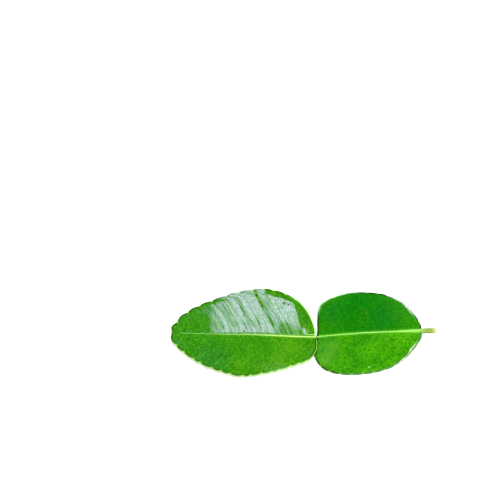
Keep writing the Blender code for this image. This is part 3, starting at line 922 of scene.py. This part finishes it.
def strand_finish(name, pale, green, fade_from=0.3, fade_to=0.9, flank_shade=0.0, end_share=0.0):
    """The skin of a strand: pale and waxy, turning to the green of the leaf along its length, with painted
    shade on the stub's flanks when asked.
    """
    material, tree, place = new_material(name)
    along = attribute(tree, "along")
    patches = placed(tree, mottle, place, BLOTCHES_PER_METRE, 1.5)["Patches"]
    streaks = add(tree, "ShaderNodeMapping", {"Vector": place, "Scale": (0.12, 1.0, 1.0)}).outputs[0]
    fibres = placed(tree, mottle, streaks, FIBRES_PER_METRE, 2.0)["Patches"]
    colour = paint(*pale)
    shares = [faded(tree, along, fade_from, fade_to), times(tree, patches, 0.3), times(tree, fibres, 0.15)]
    for share in shares:
        colour = blended(tree, share, colour, paint(*green))
    if flank_shade:
        # Painted shade on the stub's flanks, either side of a lit stripe along its top; then the pale cut
        # end.
        on_stub = faded(tree, along, fade_from, fade_to, 0.0, flank_shade)
        flank = times(tree, on_stub, faded(tree, attribute(tree, "flank"), 0.35, 0.85))
        colour = blended(tree, flank, colour, STUB_BROWN_AND_SHADE)
        colour = blended(tree, faded(tree, along, 0.97, 0.99, 0.0, end_share), colour, CUT_PALE)
    finish_material(tree, {"Base Color": colour, "Roughness": 0.45, "Coat Weight": 0.2}, fibres, 0.4, 0.03)
    return material


rib_x = -STRAND_START - RIB_LENGTH * np.linspace(0.0, 1.0, 140) ** 1.5
rib_share = -rib_x / 66.5
rib_radius = 0.5 - 0.38 * rib_share + 0.2 * np.exp(-(rib_x / 0.8) ** 2)
rib_radius = np.minimum(rib_radius, (midrib_height(rib_x) + 0.17) / 2)
rib_z = midrib_height(rib_x) + 0.22 - 0.1 * rib_share ** 0.7 - rib_radius
rib_line = np.stack([rib_x, midrib_sideways(rib_x), rib_z, rib_radius], axis=1)
midrib_pale = strand_finish("midrib_skin", (185, 228, 96), (104, 176, 52))
fold_x = np.linspace(-0.4, -5.4, 24)
fold_radius = 0.16 * np.sin(math.pi * np.linspace(0.15, 1.0, 24)) ** 0.5 + 0.02
fold_z = midrib_height(fold_x) + blade_rise(1, -fold_x / BLADE_LENGTH, 0.1, 1.05) + LAMINA_ABOVE
fold_y = midrib_sideways(fold_x) + 1.05
fold_line = np.stack([fold_x, fold_y, fold_z - 0.4 * fold_radius, fold_radius], axis=1)
midrib = strand("blade_midrib", [rib_line, fold_line], 20, midrib_pale)
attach(midrib, "root")

stalk_x = STRAND_START + (STUB_END - STRAND_START) * np.linspace(0.0, 1.0, 150) ** 1.2
stalk_radius = 0.4 + 0.1 * stalk_x / WING_LENGTH + 0.36 * ease(0.7, 1.0, stalk_x / WING_LENGTH)
stalk_radius += 0.48 * ease(49.3, 52.8, stalk_x) + 0.24 * np.exp(-(stalk_x / 0.8) ** 2)
stalk_radius += 0.05 * np.sin(2.1 * stalk_x) * ease(50.0, 52.0, stalk_x)
stalk_crest = 0.14 + (1.1 - 0.14) * ease(0.7, 1.04, stalk_x / WING_LENGTH)
stalk_z = midrib_height(stalk_x) + stalk_crest - stalk_radius
stalk_y = midrib_sideways(stalk_x) + 0.45 * ease(48.0, 54.0, stalk_x)
stalk_line = np.stack([stalk_x, stalk_y, stalk_z, stalk_radius], axis=1)
stalk_pale = strand_finish(
    "stalk_skin", (122, 208, 46), (114, 150, 30), 0.86, 0.93, flank_shade=0.75, end_share=0.6)
stalk = strand("leaf_stalk", [stalk_line], 28, stalk_pale)
# How far across the lit stripe each point of the stalk lies: beyond it, the stub's flanks take painted shade.
x, y, z = ((places_of(stalk.data) - np.array(JOINT_PLACE)) / MM).T
line_y, line_z, line_radius = (np.interp(x, stalk_x, values) for values in (stalk_y, stalk_z, stalk_radius))
across_stripe = np.abs(math.cos(STRIPE_TURN) * (y - line_y) + math.sin(STRIPE_TURN) * (z - line_z))
set_mark(stalk.data, "flank", across_stripe / line_radius)
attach(stalk, "root")


# The face where the stub was cut off the twig: a green rind round a pale ring of wood, with a spongy pith
# in the middle. It is the end of the stalk itself, cut clean, and its soft middle swells out a little.
FACE_RINGS = 7
FACE_SIDES = 28
FACE_SWELL = 0.06
PORES_PER_METRE = 6000.0
face_shares = np.linspace(0.0, 1.0, FACE_RINGS + 1)[1:]
face_turns = np.arange(FACE_SIDES) * 2.0 * math.pi / FACE_SIDES
end_x, end_y, end_z, end_radius = stalk_line[-1]
face_points = [(end_x + FACE_SWELL, end_y, end_z)]
for share in face_shares:
    swell = FACE_SWELL * (1.0 - share ** 4)
    reach = end_radius * share
    face_points += [
        (end_x + swell, end_y + reach * math.cos(turn), end_z + reach * math.sin(turn)) for turn in face_turns
    ]
face_faces = [(0, 1 + side, 1 + (side + 1) % FACE_SIDES) for side in range(FACE_SIDES)]
for ring in range(FACE_RINGS - 1):
    for side in range(FACE_SIDES):
        here = 1 + ring * FACE_SIDES + side
        after = 1 + ring * FACE_SIDES + (side + 1) % FACE_SIDES
        face_faces.append((here, here + FACE_SIDES, after + FACE_SIDES, after))
face_mesh = bpy.data.meshes.new("cut_face")
face_mesh.from_pydata(in_metres(face_points), [], face_faces)
set_mark(face_mesh, "from_middle", np.concatenate([[0.0], np.repeat(face_shares, FACE_SIDES)]))
face_mesh.shade_smooth()
wood, tree, place = new_material("cut_wood")
pores = placed(tree, mottle, place, PORES_PER_METRE, 2.5)["Patches"]
reach = attribute(tree, "from_middle")
colour = blended(tree, faded(tree, reach, 0.25, 0.4), paint(176, 196, 96), paint(214, 222, 140))
colour = blended(tree, faded(tree, reach, 0.72, 0.84), colour, paint(120, 148, 40))
colour = blended(tree, faded(tree, reach, 0.93, 1.0), colour, STUB_BROWN_AND_SHADE)
colour = blended(tree, times(tree, pores, 0.35), colour, paint(140, 150, 60))
finish_material(tree, {"Base Color": colour, "Roughness": 0.75}, pores, 0.5, 0.05)
face_mesh.materials.append(wood)
cut_face = in_scene("cut_face", face_mesh)
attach(cut_face, "root")


# The joint's seam, the thin corky layer across which the blade is shed. It grew between the ends of midrib
# and stalk and joins them; its dark colour is painted shade, the groove between their two swellings.
SEAM_HALF = 0.2
SEAM_RADIUS = 0.8
seam_x = np.linspace(-SEAM_HALF, SEAM_HALF, 5)
seam_z = midrib_height(np.zeros(5)) + 0.36 - SEAM_RADIUS
seam_line = np.stack([seam_x, midrib_sideways(seam_x), seam_z, np.full(5, SEAM_RADIUS)], axis=1)
seam_shade = strand_finish("seam_skin", (52, 78, 14), (40, 60, 10))
seam = strand("joint_seam", [seam_line], 20, seam_shade)
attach(seam, "root")


# The beads on the edge: an oil gland swells in each notch between two scallops. Each is a small flattened
# ball of the leaf's own tissue, paler than the blade and half sunk in its rim.
BEAD_FLATNESS = 0.7
BEAD_SMALLEST = 0.75
BEAD_LARGEST = 1.15
BEAD_SPACING = 2.0
beading, given, result = new_tree("edge_beads", {
    **SHAPE, "Bead Radius": "Float", "Flatness": "Float", "Seed": "Int", "Finish": "Material",
})
ball = add(beading, "GeometryNodeMeshIcoSphere", {"Radius": given["Bead Radius"], "Subdivisions": 2})
size = add(beading, "FunctionNodeRandomValue", {
    2: BEAD_SMALLEST, 3: BEAD_LARGEST, "Seed": given["Seed"],
}, data_type="FLOAT").outputs[1]
flat_size = add(beading, "ShaderNodeCombineXYZ", {
    "X": size, "Y": size, "Z": times(beading, size, given["Flatness"]),
})
beads = add(beading, "GeometryNodeInstanceOnPoints", {
    "Points": given["Geometry"], "Instance": ball.outputs["Mesh"], "Scale": flat_size.outputs[0],
})
beading.links.new(coated(beading, beads.outputs[0], given["Finish"]), result["Geometry"])

bead_pale = strand_finish("gland_skin", (168, 226, 84), (110, 180, 40))


def edge_beads(name, sheet, least, radius):
    """A bead at each notch of a sheet's edge: where the notch mark peaks along the edge."""
    mesh = sheet.data
    notch = np.zeros(len(mesh.vertices))
    mesh.attributes["notch"].data.foreach_get("value", notch)
    places = places_of(mesh)
    order = np.argsort(-notch)
    lowest = BEAD_FLATNESS * BEAD_LARGEST * radius * MM
    chosen = []
    for index in order[notch[order] > least]:
        if all(np.hypot(*(places[index] - other)[:2]) > BEAD_SPACING * MM for other in chosen):
            chosen.append(np.maximum(places[index], (-9.0, -9.0, lowest)))
    points = bpy.data.meshes.new(name)
    points.from_pydata([tuple(place) for place in chosen], [], [])
    piece = made_by(beading, name, points, {
        "Bead Radius": radius * MM, "Flatness": BEAD_FLATNESS, "Seed": 4, "Finish": bead_pale,
    })
    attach(piece, "root")


edge_beads("blade_edge_beads", blade, 0.55, 0.3)
edge_beads("wing_edge_beads", wings, 0.3, 0.17)


# The side veins, which stand out under the leaf as fine rounded ridges. They are swept along the same
# lines as the grooves on top, and laid on the lower face of each sheet.
RIDGE_RADII = (0.17, 0.12)


def ridges_under(name, sheet, organ, finish):
    """The ridges of an organ's side veins, laid on the lower face of its sheet."""
    lines = []
    for side in (1, -1):
        for number, flat in enumerate(side_veins(organ, side)):
            thick = RIDGE_RADII[number % 2] * (1.0 - 0.7 * np.linspace(0.0, 1.0, len(flat)))
            line = []
            for (x, y), radius in zip(flat, thick):
                below = Vector((x * MM, y * MM, -0.01)) + JOINT_PLACE
                hit, place, _, _ = sheet.ray_cast(below, Vector((0.0, 0.0, 1.0)))
                if hit:
                    line.append((x, y, max(place.z / MM, radius), radius))
            if len(line) > 2:
                lines.append(np.array(line))
    ridges = strand(name, lines, 8, finish)
    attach(ridges, "root")


vein_pale = strand_finish("vein_skin", (130, 166, 88), (96, 144, 60), fade_to=0.95)
ridges_under("blade_vein_ridges", blade, BLADE, vein_pale)
ridges_under("wing_vein_ridges", wings, WINGS, vein_pale)
